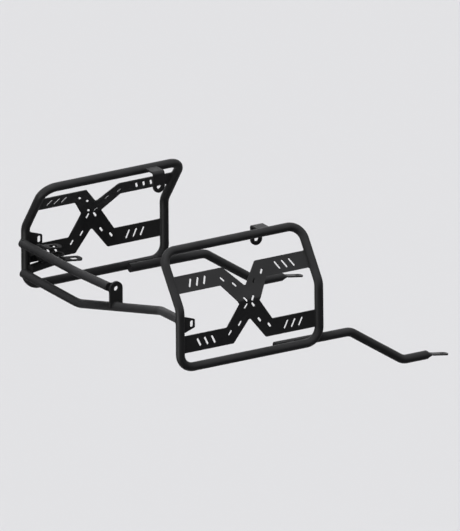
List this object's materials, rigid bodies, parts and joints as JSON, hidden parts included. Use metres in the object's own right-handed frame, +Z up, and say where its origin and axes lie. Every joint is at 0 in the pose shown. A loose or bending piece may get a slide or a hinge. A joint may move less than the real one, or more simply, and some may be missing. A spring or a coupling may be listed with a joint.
{
  "type": "pannier frame",
  "caption": "Motorbike pannier frame of bent tube: folded side hoops filled by slotted X plates, joined behind by cranked tubes, with slotted arms and bolt tabs.",
  "frame": {"origin": "centre of the bolt hole in the centre tab, on the bike's middle plane", "axes": "+X towards the front of the bike, +Y to the rider's left, +Z up"},
  "size_m": [0.6465, 0.614, 0.3253],
  "materials": {
    "black_powder_coat": "satin black powder coat on steel"
  },
  "bodies": {
    "root": {"right_hoop": "black_powder_coat", "left_hoop": "black_powder_coat", "right_x_plate": "black_powder_coat", "left_x_plate": "black_powder_coat", "right_strap_tab": "black_powder_coat", "left_strap_tab": "black_powder_coat", "right_top_bracket": "black_powder_coat", "left_top_bracket": "black_powder_coat", "right_front_arm": "black_powder_coat", "left_front_arm": "black_powder_coat", "rear_crossbar": "black_powder_coat", "upper_brace": "black_powder_coat", "centre_mount_tab": "black_powder_coat", "left_lower_rear_arm": "black_powder_coat", "left_middle_rear_arm": "black_powder_coat", "left_upper_rear_arm": "black_powder_coat"}
  },
  "joints": []
}
